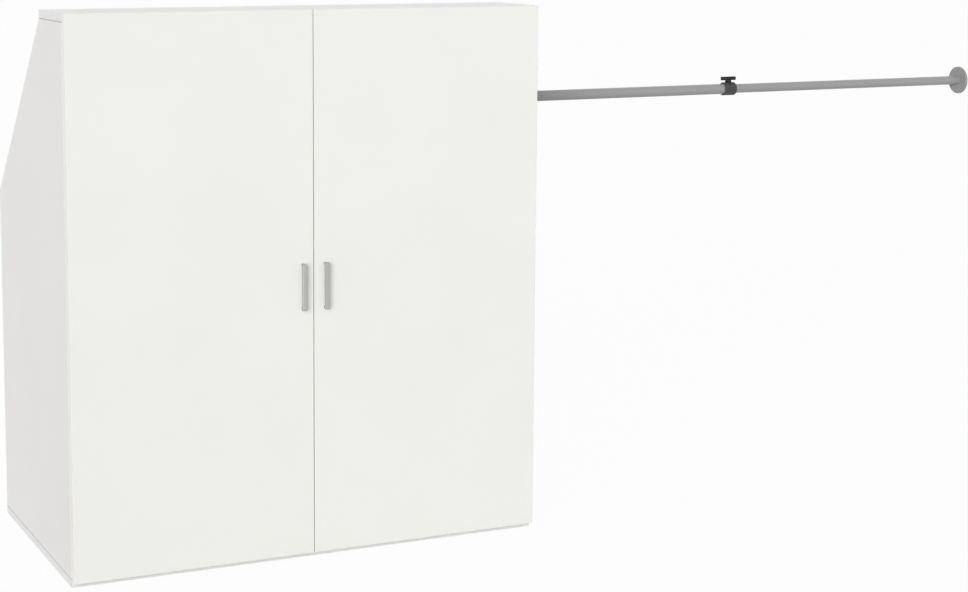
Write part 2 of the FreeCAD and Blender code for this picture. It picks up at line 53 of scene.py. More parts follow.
sideLow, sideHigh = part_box("right_side_panel")
topLow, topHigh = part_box("top_board")
bottomLow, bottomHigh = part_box("bottom_board")
backLow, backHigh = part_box("lower_back_panel")
doorLow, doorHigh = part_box("right_door_panel")
rail = middleOf("inner_rail_tube")
front, rear, kneeLevel = sideLow.y, sideHigh.y, backHigh.z
slopeRise, slopeRun = topLow.z - kneeLevel, rear - topHigh.y
sides = ((-1, "left"), (1, "right"))

# camera: in front of the doors, to their left and just above them, looking slightly down; angles in degrees
cameraSet = {
    "place": (-1.5587, -4.2093, 1.3839),
    "yaw": 23.929,
    "pitch": -7.428,
    "roll": 0.124,
    "lens": 73.575,  # millimetres, as the sensor
    "sensor": 36.0,
    "shift": (0.1, -0.12),
    "farEnd": 200.0,
}


def placeCamera(cam):
    yaw, pitch, roll = (math.radians(cam[key]) for key in ("yaw", "pitch", "roll"))
    forward = Vector((math.sin(yaw) * math.cos(pitch), math.cos(yaw) * math.cos(pitch), math.sin(pitch)))
    level = Vector((math.cos(yaw), -math.sin(yaw), 0))
    upright = level.cross(forward)
    right = level * math.cos(roll) + upright * math.sin(roll)
    up = upright * math.cos(roll) - level * math.sin(roll)
    data = bpy.data.cameras.new("photoCamera")
    data.sensor_width = cam["sensor"]
    data.lens = cam["lens"]
    data.shift_x, data.shift_y = cam["shift"]
    data.clip_end = cam["farEnd"]
    holder = bpy.data.objects.new("photoCamera", data)
    scene.collection.objects.link(holder)
    turn = Matrix((right, up, -forward)).transposed().to_4x4()
    holder.matrix_world = Matrix.Translation(cam["place"]) @ turn
    scene.camera = holder


placeCamera(cameraSet)


# node helpers: a value is a number, a colour or another node's socket
def wire(tree, target, value):
    if isinstance(value, bpy.types.NodeSocket):
        tree.links.new(value, target)
    else:
        target.default_value = value


def addNode(tree, kind, inputs=None, **settings):
    node = tree.nodes.new("ShaderNode" + kind)
    for key, value in settings.items():
        setattr(node, key, value)
    for key, value in (inputs or {}).items():
        wire(tree, node.inputs[key], value)
    return node


def doMath(tree, operation, first, second=0.0, third=0.0):
    return addNode(tree, "Math", {0: first, 1: second, 2: third}, operation=operation).outputs[0]


def doVector(tree, operation, first, second):
    return addNode(tree, "VectorMath", {0: first, 1: second}, operation=operation).outputs[0]


# a value carried from one range into another, and held at its ends
def spanTo(tree, value, old, new):
    node = addNode(tree, "MapRange", {
        "Value": value, "From Min": old[0], "From Max": old[1], "To Min": new[0], "To Max": new[1],
    })
    return node.outputs["Result"]


# the Mix node takes its colours at sockets 6 and 7 and gives their mix at output 2
def mixColour(tree, factor, first, second):
    return addNode(tree, "Mix", {0: factor, 6: first, 7: second}, data_type="RGBA").outputs[2]


def tinted(tree, base, mask, share, colour):
    return mixColour(tree, doMath(tree, "MULTIPLY", mask, share), base, colour)


def shaded(colour, factor=1.0):
    return tuple(channel * factor for channel in colour) + (1.0,)


def newGroup(name, inputs, outputs):
    tree = bpy.data.node_groups.new(name, "ShaderNodeTree")
    for label, kind, value in inputs:
        socket = tree.interface.new_socket(label, in_out="INPUT", socket_type="NodeSocket" + kind)
        socket.default_value = value
    for label, kind in outputs:
        tree.interface.new_socket(label, in_out="OUTPUT", socket_type="NodeSocket" + kind)
    return tree, tree.nodes.new("NodeGroupInput").outputs, tree.nodes.new("NodeGroupOutput").inputs


def useGroup(tree, group, inputs):
    node = tree.nodes.new("ShaderNodeGroup")
    node.node_tree = group
    for key, value in inputs.items():
        wire(tree, node.inputs[key], value)
    return node.outputs


# grain: fine noise, cloudy noise and pits on the piece's own coordinates, drawn out along Stretch
grainSet = {"fineDetail": 3.0, "cloudDetail": 4.0}
closeNoise, wideNoise = (0.35, 0.65), (0.3, 0.7)  # where most noise values lie


def makeGrainGroup():
    tree, inside, outside = newGroup(
        "surfaceGrain",
        [("Fine Scale", "Float", 900.0), ("Cloud Scale", "Float", 5.0), ("Stretch", "Vector", (1, 1, 1))],
        [("Fine", "Float"), ("Cloud", "Float"), ("Pits", "Float")],
    )
    place = addNode(tree, "TexCoord").outputs["Object"]
    drawn = doVector(tree, "MULTIPLY", place, inside["Stretch"])
    fine = addNode(tree, "TexNoise", {
        "Vector": drawn, "Scale": inside["Fine Scale"], "Detail": grainSet["fineDetail"],
    })
    cloud = addNode(tree, "TexNoise", {
        "Vector": drawn, "Scale": inside["Cloud Scale"], "Detail": grainSet["cloudDetail"],
    })
    pits = addNode(tree, "TexVoronoi", {"Vector": drawn, "Scale": inside["Fine Scale"]})
    tree.links.new(fine.outputs[0], outside["Fine"])
    tree.links.new(cloud.outputs[0], outside["Cloud"])
    tree.links.new(pits.outputs["Distance"], outside["Pits"])
    return tree


# edge band: mask of the strip along a board's rim, and of the glue line behind it; fades in strip thicknesses
bandSet = {"stripFade": (0.9, 1.1), "glueFade": (0.1, 0.25)}


def makeBandGroup():
    tree, inside, outside = newGroup(
        "edgeBand",
        [("Low", "Vector", (0, 0, 0)), ("High", "Vector", (1, 1, 1)), ("Thickness", "Float", 0.0008)],
        [("Band", "Float"), ("Line", "Float")],
    )
    place = addNode(tree, "TexCoord").outputs["Object"]
    fromLow = doVector(tree, "SUBTRACT", place, inside["Low"])
    fromHigh = doVector(tree, "SUBTRACT", inside["High"], place)
    least = addNode(tree, "SeparateXYZ", {0: doVector(tree, "MINIMUM", fromLow, fromHigh)}).outputs
    rim = doMath(tree, "MINIMUM", least["X"], least["Z"])
    share = doMath(tree, "DIVIDE", rim, inside["Thickness"])
    offset = doMath(tree, "ABSOLUTE", doMath(tree, "SUBTRACT", share, 1.0))
    tree.links.new(spanTo(tree, share, bandSet["stripFade"], (1, 0)), outside["Band"])
    tree.links.new(spanTo(tree, offset, bandSet["glueFade"], (1, 0)), outside["Line"])
    return tree


# seam shade: a painted shade line at two levels where boards meet, only further out than Skin; its fade in
# line widths
seamShadeSet = {"fade": (0.4, 1.0)}


def makeSeamShadeGroup():
    tree, inside, outside = newGroup(
        "paintedSeamShade",
        [("Low Level", "Float", 0.0), ("High Level", "Float", 1.0), ("Skin", "Float", 0.5),
         ("Width", "Float", 0.001)],
        [("Line", "Float")],
    )
    place = addNode(tree, "SeparateXYZ", {0: addNode(tree, "TexCoord").outputs["Object"]}).outputs
    fromLow = doMath(tree, "ABSOLUTE", doMath(tree, "SUBTRACT", place["Z"], inside["Low Level"]))
    fromHigh = doMath(tree, "ABSOLUTE", doMath(tree, "SUBTRACT", place["Z"], inside["High Level"]))
    share = doMath(tree, "DIVIDE", doMath(tree, "MINIMUM", fromLow, fromHigh), inside["Width"])
    line = spanTo(tree, share, seamShadeSet["fade"], (1, 0))
    outer = doMath(tree, "GREATER_THAN", doMath(tree, "ABSOLUTE", place["X"]), inside["Skin"])
    tree.links.new(doMath(tree, "MULTIPLY", line, outer), outside["Line"])
    return tree


grainGroup = makeGrainGroup()
bandGroup = makeBandGroup()
seamShadeGroup = makeSeamShadeGroup()


def emptyTree(owner):
    owner.use_nodes = True
    owner.node_tree.nodes.clear()
    return owner.node_tree


def newMaterial(name):
    material = bpy.data.materials.new(name)
    tree = emptyTree(material)
    shader = addNode(tree, "BsdfPrincipled")
    addNode(tree, "OutputMaterial", {"Surface": shader.outputs[0]})
    return material, tree, shader


def bumpFrom(tree, shader, height, strength, distance):
    bump = addNode(tree, "Bump", {"Height": height, "Strength": strength, "Distance": distance})
    tree.links.new(bump.outputs[0], shader.inputs["Normal"])


# white melamine: doors get an edge strip in their box, carcass boards get a painted shade line along their
# joints
melamineSet = {
    "door": (0.850, 0.853, 0.820),
    "carcass": (0.850, 0.838, 0.830),
    "gloss": 0.10,
    "roughness": (0.42, 0.54),
    "cloudScale": 4.0,
    "cloudShade": 0.985,
    "pearlScale": 1100.0,
    "pearlShade": 0.94,
    "pearlShare": 0.25,
    "bump": (0.12, 0.0002),
    "stripThickness": 0.0008,
    "stripShade": 1.02,
    "stripShare": 0.5,
    "stripPolish": -0.08,
    "glueShade": 0.72,
    "glueShare": 0.35,
    "seamPaintedShade": 0.55,
    "seamDepth": 0.0015,
    "seamWidth": 0.0013,
}


def melamine(name, colour, box=None):
    look = melamineSet
    material, tree, shader = newMaterial(name)
    shader.inputs["Specular IOR Level"].default_value = look["gloss"]
    grain = useGroup(tree, grainGroup, {"Fine Scale": look["pearlScale"], "Cloud Scale": look["cloudScale"]})
    cloud = spanTo(tree, grain["Cloud"], closeNoise, (0, 1))
    base = mixColour(tree, cloud, shaded(colour, look["cloudShade"]), shaded(colour))
    pearl = spanTo(tree, grain["Fine"], wideNoise, (look["pearlShare"], 0))
    base = mixColour(tree, pearl, base, shaded(colour, look["pearlShade"]))
    rough = spanTo(tree, grain["Fine"], wideNoise, look["roughness"])
    if box:
        band = useGroup(tree, bandGroup, {"Low": box[0], "High": box[1], "Thickness": look["stripThickness"]})
        base = tinted(tree, base, band["Band"], look["stripShare"], shaded(colour, look["stripShade"]))
        base = tinted(tree, base, band["Line"], look["glueShare"], shaded(colour, look["glueShade"]))
        rough = doMath(tree, "MULTIPLY_ADD", band["Band"], look["stripPolish"], rough)
    else:
        # painted shade along the outer joints at the levels of the top and bottom boards
        jointShade = useGroup(tree, seamShadeGroup, {
            "Low Level": bottomHigh.z, "High Level": topLow.z,
            "Skin": sideHigh.x - look["seamDepth"], "Width": look["seamWidth"],
        })
        base = mixColour(tree, jointShade["Line"], base, shaded(colour, look["seamPaintedShade"]))
    wire(tree, shader.inputs["Base Color"], base)
    wire(tree, shader.inputs["Roughness"], rough)
    bumpFrom(tree, shader, doMath(tree, "ADD", grain["Fine"], grain["Pits"]), *look["bump"])
    return material


# hardboard back: white lacquer where it faces forward, bare brown fibre elsewhere, a painted shade line at
# the knee where the two panels meet
hardboardSet = {
    "lacquer": (0.80, 0.795, 0.775),
    "fibre": (0.36, 0.245, 0.15),
    "fleck": (0.24, 0.155, 0.09),
    "pale": (0.47, 0.34, 0.22),
    "roughness": (0.62, 0.4),
    "fineScale": 420.0,
    "cloudScale": 9.0,
    "stretch": (0.5, 1.0, 1.0),
    "cloudShade": 1.14,
    "paleNoise": (0.5, 0.72),
    "paleShare": 0.8,
    "fleckPits": (0.0, 0.3),
    "fleckShare": 0.7,
    "facing": (-0.3, -0.1),
    "kneeWidth": 0.0022,
    "kneePaintedShade": 0.45,
    "bump": (0.25, 0.0002),
}


def hardboard(name):
    look = hardboardSet
    material, tree, shader = newMaterial(name)
    grain = useGroup(tree, grainGroup, {
        "Fine Scale": look["fineScale"], "Cloud Scale": look["cloudScale"], "Stretch": look["stretch"],
    })
    normal = addNode(tree, "SeparateXYZ", {0: addNode(tree, "TexCoord").outputs["Normal"]}).outputs
    inside = spanTo(tree, normal["Y"], look["facing"], (1, 0))
    cloud = spanTo(tree, grain["Cloud"], closeNoise, (0, 1))
    fibre = mixColour(tree, cloud, shaded(look["fibre"]), shaded(look["fibre"], look["cloudShade"]))
    pale = spanTo(tree, grain["Fine"], look["paleNoise"], (0, look["paleShare"]))
    fibre = mixColour(tree, pale, fibre, shaded(look["pale"]))
    fleck = spanTo(tree, grain["Pits"], look["fleckPits"], (look["fleckShare"], 0))
    fibre = mixColour(tree, fleck, fibre, shaded(look["fleck"]))
    # painted shade line along the knee, where the upright and sloped panels meet
    kneeShadeLine = useGroup(tree, seamShadeGroup, {
        "Low Level": kneeLevel, "High Level": kneeLevel, "Skin": 0.0, "Width": look["kneeWidth"],
    })
    fibre = mixColour(tree, kneeShadeLine["Line"], fibre, shaded(look["fleck"], look["kneePaintedShade"]))
    wire(tree, shader.inputs["Base Color"], mixColour(tree, inside, fibre, shaded(look["lacquer"])))
    wire(tree, shader.inputs["Roughness"], spanTo(tree, inside, (0, 1), look["roughness"]))
    bumpFrom(tree, shader, grain["Fine"], *look["bump"])
    return material


# drawn, plated and anodised metals: grain runs along the axis with the smallest stretch
metalLook = {
    "cloudScale": 30.0,
    "cloudShade": 0.93,
    "grainShade": 0.86,
    "grainShare": 0.5,
    "bump": (0.15, 0.00008),
}
metalSet = {
    "satinHandle": {
        "colour": (0.475, 0.475, 0.47), "roughness": (0.42, 0.54), "scale": 1500.0, "stretch": (1, 1, 0.02),
    },
    "nickelSteel": {
        "colour": (0.66, 0.645, 0.61), "roughness": (0.24, 0.31), "scale": 2600.0, "stretch": (1, 0.05, 1),
    },
    "zincScrew": {
        "colour": (0.60, 0.60, 0.58), "roughness": (0.26, 0.40), "scale": 2500.0, "stretch": (1, 1, 1),
    },
    "castZinc": {
        "colour": (0.46, 0.46, 0.455), "roughness": (0.42, 0.60), "scale": 1800.0, "stretch": (1, 1, 1),
    },
    "brassPad": {
        "colour": (0.66, 0.50, 0.22), "roughness": (0.25, 0.40), "scale": 2200.0, "stretch": (1, 1, 1),
    },
}


def metal(name, colour, roughness, scale, stretch):
    look = metalLook
    material, tree, shader = newMaterial(name)
    grain = useGroup(tree, grainGroup, {
        "Fine Scale": scale, "Cloud Scale": look["cloudScale"], "Stretch": stretch,
    })
    cloud = spanTo(tree, grain["Cloud"], closeNoise, (0, 1))
    base = mixColour(tree, cloud, shaded(colour, look["cloudShade"]), shaded(colour))
    scratch = spanTo(tree, grain["Fine"], closeNoise, (look["grainShare"], 0))
    base = mixColour(tree, scratch, base, shaded(colour, look["grainShade"]))
    wire(tree, shader.inputs["Base Color"], base)
    wire(tree, shader.inputs["Roughness"], spanTo(tree, grain["Fine"], wideNoise, roughness))
    shader.inputs["Metallic"].default_value = 1.0
    bumpFrom(tree, shader, grain["Fine"], *look["bump"])
    return material


# painted tubes, plastics and rubber
coatedLook = {
    "cloudScale": 14.0,
    "cloudShades": (0.95, 1.02),
    "pits": (0.1, 0.6),
    "pitShade": 0.85,
    "pitShare": 0.3,
    "bumpHeight": 0.0002,
}
coatedSet = {
    "greyTube": {
        "colour": (0.302, 0.302, 0.302), "roughness": (0.38, 0.50), "gloss": 0.65,
        "scale": 800.0, "stretch": (0.25, 1, 1), "bump": 0.10,
    },
    "greyFlange": {
        "colour": (0.30, 0.30, 0.30), "roughness": (0.42, 0.55), "gloss": 0.5,
        "scale": 900.0, "stretch": (1, 1, 1), "bump": 0.12,
    },
    "blackCollar": {
        "colour": (0.050, 0.050, 0.050), "roughness": (0.45, 0.62), "gloss": 0.4,
        "scale": 2200.0, "stretch": (1, 1, 1), "bump": 0.30,
    },
    "blackKnob": {
        "colour": (0.016, 0.016, 0.016), "roughness": (0.38, 0.55), "gloss": 0.25,
        "scale": 2200.0, "stretch": (1, 1, 1), "bump": 0.30,
    },
    "milkyRubber": {
        "colour": (0.74, 0.74, 0.71), "roughness": (0.30, 0.42), "gloss": 0.5,
        "scale": 1500.0, "stretch": (1, 1, 1), "bump": 0.08,
    },
}


def coated(name, colour, roughness, gloss, scale, stretch, bump):
    look = coatedLook
    material, tree, shader = newMaterial(name)
    shader.inputs["Specular IOR Level"].default_value = gloss
    grain = useGroup(tree, grainGroup, {
        "Fine Scale": scale, "Cloud Scale": look["cloudScale"], "Stretch": stretch,
    })
    cloud = spanTo(tree, grain["Cloud"], closeNoise, (0, 1))
    base = mixColour(tree, cloud, *(shaded(colour, shade) for shade in look["cloudShades"]))
    pit = spanTo(tree, grain["Pits"], look["pits"], (look["pitShare"], 0))
    base = mixColour(tree, pit, base, shaded(colour, look["pitShade"]))
    wire(tree, shader.inputs["Base Color"], base)
    wire(tree, shader.inputs["Roughness"], spanTo(tree, grain["Fine"], wideNoise, roughness))
    bumpFrom(tree, shader, doMath(tree, "ADD", grain["Fine"], grain["Pits"]), bump, look["bumpHeight"])
    return material


# beech dowels: pale wood with short flecks along the grain
beechSet = {
    "light": (0.62, 0.43, 0.26),
    "dark": (0.46, 0.29, 0.16),
    "roughness": (0.5, 0.7),
    "fineScale": 700.0,
    "cloudScale": 40.0,
    "stretch": (0.3, 1, 0.3),
    "bump": (0.2, 0.0002),
}


def beech(name):
    look = beechSet
    material, tree, shader = newMaterial(name)
    grain = useGroup(tree, grainGroup, {
        "Fine Scale": look["fineScale"], "Cloud Scale": look["cloudScale"], "Stretch": look["stretch"],
    })
    fleck = spanTo(tree, grain["Fine"], closeNoise, (0, 1))
    base = mixColour(tree, fleck, shaded(look["dark"]), shaded(look["light"]))
    wire(tree, shader.inputs["Base Color"], base)
    wire(tree, shader.inputs["Roughness"], spanTo(tree, grain["Cloud"], wideNoise, look["roughness"]))
    bumpFrom(tree, shader, grain["Fine"], *look["bump"])
    return material


finishes = {key: metal(key, **values) for key, values in metalSet.items()}
finishes.update({key: coated(key, **values) for key, values in coatedSet.items()})
finishes["hardboard"] = hardboard("hardboard")
finishes["beech"] = beech("beech")
finishes["carcassWhite"] = melamine("carcass_white", melamineSet["carcass"])

# finishes of the CAD solids that stay in view
hingePieces = ("plates", "arms", "arm_pins", "outer_links", "inner_links", "cups", "cup_pins")
wornBy = {
    "carcassWhite": ["knee_batten", "top_batten"],
    "hardboard": ["lower_back_panel", "sloped_back_panel"],
    "beech": ["wooden_dowels"],
    "castZinc": ["cam_bolts"],
    "greyTube": ["outer_rail_tube", "inner_rail_tube", "hanging_rail"],
    "greyFlange": ["cabinet_flange", "wall_flange", "left_rail_socket", "right_rail_socket"],
    "brassPad": ["pressure_pad"],
    "nickelSteel": [name + "_hinge_" + piece for side, name in sides for piece in hingePieces],
}


def dress(name, material):
    for slot in nodes[name].material_slots:
        slot.link = "OBJECT"
        slot.material = material


for finish, names in wornBy.items():
    for name in names:
        dress(name, finishes[finish])
print("materials:", len(finishes))


# surfaces as whole arrays: quads between neighbours of a grid, where a wrap joins the last to the first
def gridQuads(rows, columns, wrapRows=False, wrapColumns=True):
    row = np.arange(rows if wrapRows else rows - 1)[:, None]
    column = np.arange(columns if wrapColumns else columns - 1)[None, :]
    nextRow = (row + 1) % rows
    nextColumn = (column + 1) % columns
    corners = (row * columns + column, row * columns + nextColumn,
               nextRow * columns + nextColumn, nextRow * columns + column)
    return np.stack(np.broadcast_arrays(*corners), -1).reshape(-1, 4)


# surfaces one after the other, each one's faces counted on from the points before it
def joined(*surfaces):
    points, faces, start = [], [], 0
    for surfacePoints, surfaceFaces in surfaces:
        points.append(np.reshape(surfacePoints, (-1, 3)))
        faces += [np.add(face, start).tolist() for face in surfaceFaces]
        start += len(points[-1])
    return np.concatenate(points), faces


# points in one cell of the weld grid become one, and a face left with two corners goes
def welded(points, faces, weldGrid=1e-7):
    keys = np.round(np.reshape(points, (-1, 3)) / weldGrid).astype(np.int64)
    first, index = np.unique(keys, axis=0, return_index=True, return_inverse=True)[1:]
    index = index.reshape(-1)
    closed = []
    for face in faces:
        corners = list(dict.fromkeys(index[np.asarray(face)].tolist()))
        if len(corners) > 2:
            closed.append(corners)
    return np.reshape(points, (-1, 3))[first], closed


def addPiece(name, surface, material, body, replaced=(), smooth=35.0):
    mesh = bpy.data.meshes.new(name)
    points, faces = welded(*surface)
    mesh.from_pydata(points.tolist(), [], faces)
    mesh.materials.append(material)
    mesh.shade_smooth()
    mesh.set_sharp_from_angle(angle=math.radians(smooth))
    piece = bpy.data.objects.new(name, mesh)
    scene.collection.objects.link(piece)
    evenNormals = piece.modifiers.new("evenNormals", "WEIGHTED_NORMAL")
    evenNormals.keep_sharp = True
    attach(piece, body)
    if replaced:
        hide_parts(*replaced)


# one value for each row of a shape, the same all the way round
def allRound(values, steps):
    return np.array(values, float)[:, None] * np.ones(steps)


# lathe: point(i, t) = (along, radius cos t, radius sin t); a row of zero radius closes an end
def lathe(along, radius, steps, wrapRows=False):
    along = np.broadcast_to(np.reshape(along, (len(along), -1)), (len(along), steps))
    radius = np.broadcast_to(np.reshape(radius, (len(radius), -1)), (len(radius), steps))
    turn = np.linspace(0, 2 * np.pi, steps, endpoint=False)
    points = np.stack([along, radius * np.cos(turn), radius * np.sin(turn)], -1)
    return points.reshape(-1, 3), gridQuads(len(along), steps, wrapRows)


# copies of a lathed shape: spot + along x + side y + other z, each copy turned by turnStep radians more
def spread(surface, spots, direction, turnStep=2.4):
    points, faces = surface
    points, spots = np.reshape(points, (-1, 3)), np.reshape(spots, (-1, 3))
    along = np.array(direction, float) / np.linalg.norm(direction)
    helper = np.array((0, 0, 1.0)) if abs(along[2]) < 0.9 else np.array((1.0, 0, 0))  # not along the axis
    first = helper - along * (helper @ along)
    first /= np.linalg.norm(first)
    second = np.cross(along, first)
    angle = turnStep * np.arange(len(spots))[:, None]
    side = np.cos(angle) * first + np.sin(angle) * second
    other = np.cos(angle) * second - np.sin(angle) * first
    placed = spots[:, None] + points[None, :, :1] * along
    placed = placed + points[None, :, 1:2] * side[:, None] + points[None, :, 2:] * other[:, None]
    shift = np.arange(len(spots))[:, None, None] * len(points)
    return placed.reshape(-1, 3), (np.asarray(faces)[None] + shift).reshape(-1, 4)


# outline moved in by inset: each corner slides along the sum of its two edge normals
def movedIn(outline, inset):
    edge = np.roll(outline, -1, 0) - outline
    normal = np.stack([-edge[:, 1], edge[:, 0]], -1) / np.linalg.norm(edge, axis=1)[:, None]
    before = np.roll(normal, 1, 0)
    reach = 1 + np.sum(normal * before, 1, keepdims=True)
    return outline + inset * (normal + before) / reach


# rounded rim of a sheet: inset ease (1 - sin t) at level ease (1 - cos t) from each end
def easedRows(low, high, easeLow, easeHigh, segments):
    turn = np.linspace(0, np.pi / 2, segments + 1)
    back = turn[::-1]
    insets = np.concatenate([easeLow * (1 - np.sin(turn)), easeHigh * (1 - np.sin(back))])
    levels = np.concatenate([low + easeLow * (1 - np.cos(turn)), high - easeHigh * (1 - np.cos(back))])
    return insets, levels


# board: an outline carried along an axis from low to high, moved in at each end by its eased rows
axisOrder = {"x": [2, 0, 1], "y": [1, 2, 0], "z": [0, 1, 2]}  # outline and level columns as x, y and z


def easedPrism(outline, axis, low, high, easeLow, easeHigh, segments=3):
    insets, levels = easedRows(low, high, easeLow, easeHigh, segments)
    rows = np.stack([movedIn(outline, inset) for inset in insets])
    count = len(outline)
    points = np.concatenate([rows, np.broadcast_to(levels[:, None, None], rows.shape[:2] + (1,))], -1)
    points = points.reshape(-1, 3)[:, axisOrder[axis]]
    ring = np.arange(count)
    caps = [ring[::-1].tolist(), (ring + (len(insets) - 1) * count).tolist()]
    return points, gridQuads(len(insets), count).tolist() + caps


# carcass boards: softened edges, and a rebate that the back panels lie in
boardSet = {
    "ease": 0.0009,
    "rebate": 0.010,
    "back": 0.003,
    "smooth": 25,
}


# side outline: upright to the knee, then leaning to the top board; rear edges moved in by inset
def sideOutline(inset):
    tilt = math.hypot(slopeRise, slopeRun)
    kneeIn = kneeLevel - inset * (tilt - slopeRise) / slopeRun
    topIn = topHigh.y - inset * tilt / slopeRise
    return np.array([
        (front, sideLow.z), (rear - inset, sideLow.z), (rear - inset, kneeIn),
        (topIn, sideHigh.z), (front, sideHigh.z),
    ])


# side board: the whole outline carried through its outer part, the one inside the rebate through the rest
def sideBoard(side):
    ease, split = boardSet["ease"], sideLow.x + boardSet["rebate"]
    skin, core = sideOutline(0.0), sideOutline(boardSet["back"])
    if side > 0:
        return joined(easedPrism(skin, "x", split, sideHigh.x, 0, ease),
                      easedPrism(core, "x", sideLow.x, split, ease, 0))
    return joined(easedPrism(skin, "x", -sideHigh.x, -split, ease, 0),
                  easedPrism(core, "x", -split, -sideLow.x, 0, ease))


# plan outline: a box's four corners seen from above
def planOutline(low, high):
    return np.array([(low.x, low.y), (high.x, low.y), (high.x, high.y), (low.x, high.y)])


# top board: its plan carried up, softened at both faces
def topBoard():
    ease = boardSet["ease"]
    return easedPrism(planOutline(topLow, topHigh), "z", topLow.z, topHigh.z, ease, ease)


# bottom board: its plan carried up to the rebate, then the plan with the rebate's notch to its top
def bottomBoard():
    ease = boardSet["ease"]
    split = bottomHigh.z - boardSet["rebate"]
    wide, slot = bottomHigh.x, sideLow.x + boardSet["rebate"]
    inner = bottomHigh.y - boardSet["back"]
    notched = np.array([
        (-wide, bottomLow.y), (wide, bottomLow.y), (wide, bottomHigh.y), (slot, bottomHigh.y),
        (slot, inner), (-slot, inner), (-slot, bottomHigh.y), (-wide, bottomHigh.y),
    ])
    lower = easedPrism(planOutline(bottomLow, bottomHigh), "z", bottomLow.z, split, ease, 0)
    return joined(lower, easedPrism(notched, "z", split, bottomHigh.z, 0, ease))


# door: front sheet, rounded rim, and a rear sheet that opens into the hinge bores
doorSet = {
    "ease": 0.0009,
    "segments": 3,
    "bores": 3,
    "boreFromEdge": 0.022,
    "boreFromEnd": 0.100,
    "boreRadius": 0.0175,
    "boreDepth": 0.013,
    "patch": 0.020,
    "patchSteps": 8,
}
boreX, boreFromEnd = doorHigh.x - doorSet["boreFromEdge"], doorSet["boreFromEnd"]
hingeZs = np.linspace(doorLow.z + boreFromEnd, doorHigh.z - boreFromEnd, doorSet["bores"])


# rear sheet: a flat grid whose lines frame the bores' square patches, with the patches left open
def rearSheet(lineX, lineZ, level):
    steps = doorSet["patchSteps"]
    countX, countZ = len(lineX), len(lineZ)
    gridZ, gridX = np.meshgrid(lineZ, lineX, indexing="ij")
    points = np.stack([gridX, np.full_like(gridX, level), gridZ], -1)
    quads = gridQuads(countZ, countX, wrapColumns=False)[:, [0, 3, 2, 1]]
    cellX, cellZ = quads[:, 0] % countX, quads[:, 0] // countX
    inPatch = (cellX >= 1) & (cellX <= steps) & ((cellZ - 1) % (steps + 1) < steps)
    return points, quads[~inPatch]


# rim: the sheet's border grown by ease - inset at each eased row, closed by the front sheet
def doorRim(lineX, lineZ, low, high):
    countX, countZ = len(lineX) - 1, len(lineZ) - 1
    border = np.concatenate([
        np.stack([np.full(countZ, lineX[0]), lineZ[:-1]], -1),
        np.stack([lineX[:-1], np.full(countX, lineZ[-1])], -1),
        np.stack([np.full(countZ, lineX[-1]), lineZ[:0:-1]], -1),
        np.stack([lineX[:0:-1], np.full(countX, lineZ[0])], -1),
    ])
    ease = doorSet["ease"]
    insets, depths = easedRows(low.y, high.y, ease, ease, doorSet["segments"])
    grow = ease - insets[:, None]
    borderX, borderZ = border[:, 0], border[:, 1]
    rimX = borderX + grow * ((borderX == lineX[-1]) * 1.0 - (borderX == lineX[0]))
    rimZ = borderZ + grow * ((borderZ == lineZ[-1]) * 1.0 - (borderZ == lineZ[0]))
    points = np.stack([rimX, np.broadcast_to(depths[:, None], rimX.shape), rimZ], -1)
    count = len(border)
    return points, gridQuads(len(insets), count).tolist() + [np.arange(count)[::-1].tolist()]


# bore: a ring from the square patch to the circle, the wall, and the floor
def doorBore(offsets, x, z, level):
    patch, edge, steps = doorSet["patch"], offsets[:-1], doorSet["patchSteps"]
    square = np.concatenate([
        np.stack([np.full(steps, -patch), edge], -1), np.stack([edge, np.full(steps, patch)], -1),
        np.stack([np.full(steps, patch), -edge], -1), np.stack([-edge, np.full(steps, -patch)], -1),
    ])
    circle = square / np.linalg.norm(square, axis=1)[:, None] * doorSet["boreRadius"]
    rows = np.stack([square, circle, circle])
    around = len(square)
    levels = allRound([level, level, level - doorSet["boreDepth"]], around)
    points = np.stack([rows[..., 0] + x, levels, rows[..., 1] + z], -1)
    floorFace = np.arange(around) + 2 * around
    return points, gridQuads(len(rows), around).tolist() + [floorFace.tolist()]


# slab: grid lines at the eased edges and across each patch, then sheet, rim and bores on them
def doorSlab(low, high, hingeX):
    ease, patch = doorSet["ease"], doorSet["patch"]
    offsets = np.linspace(-patch, patch, doorSet["patchSteps"] + 1)
    lineX = np.concatenate([[low.x + ease], hingeX + offsets, [high.x - ease]])
    lineZ = np.concatenate([[low.z + ease], *[z + offsets for z in hingeZs], [high.z - ease]])
    bores = [doorBore(offsets, hingeX, z, high.y) for z in hingeZs]
    return joined(rearSheet(lineX, lineZ, high.y), doorRim(lineX, lineZ, low, high), *bores)


boardSmooth = boardSet["smooth"]
carcassWhite = finishes["carcassWhite"]
for side, name in sides:
    low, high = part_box(name + "_door_panel")
    door = melamine(name + "_door_white", melamineSet["door"], (tuple(low), tuple(high)))
    addPiece(name + "_door_slab", doorSlab(low, high, side * boreX), door, name + "_door",
             [name + "_door_panel"], boardSmooth)
    addPiece(name + "_side_board", sideBoard(side), carcassWhite, "carcass",
             [name + "_side_panel"], boardSmooth)
addPiece("top_board_eased", topBoard(), carcassWhite, "carcass", ["top_board"], boardSmooth)
addPiece("bottom_board_eased", bottomBoard(), carcassWhite, "carcass", ["bottom_board"],
         boardSmooth)
print("boards and doors ready")

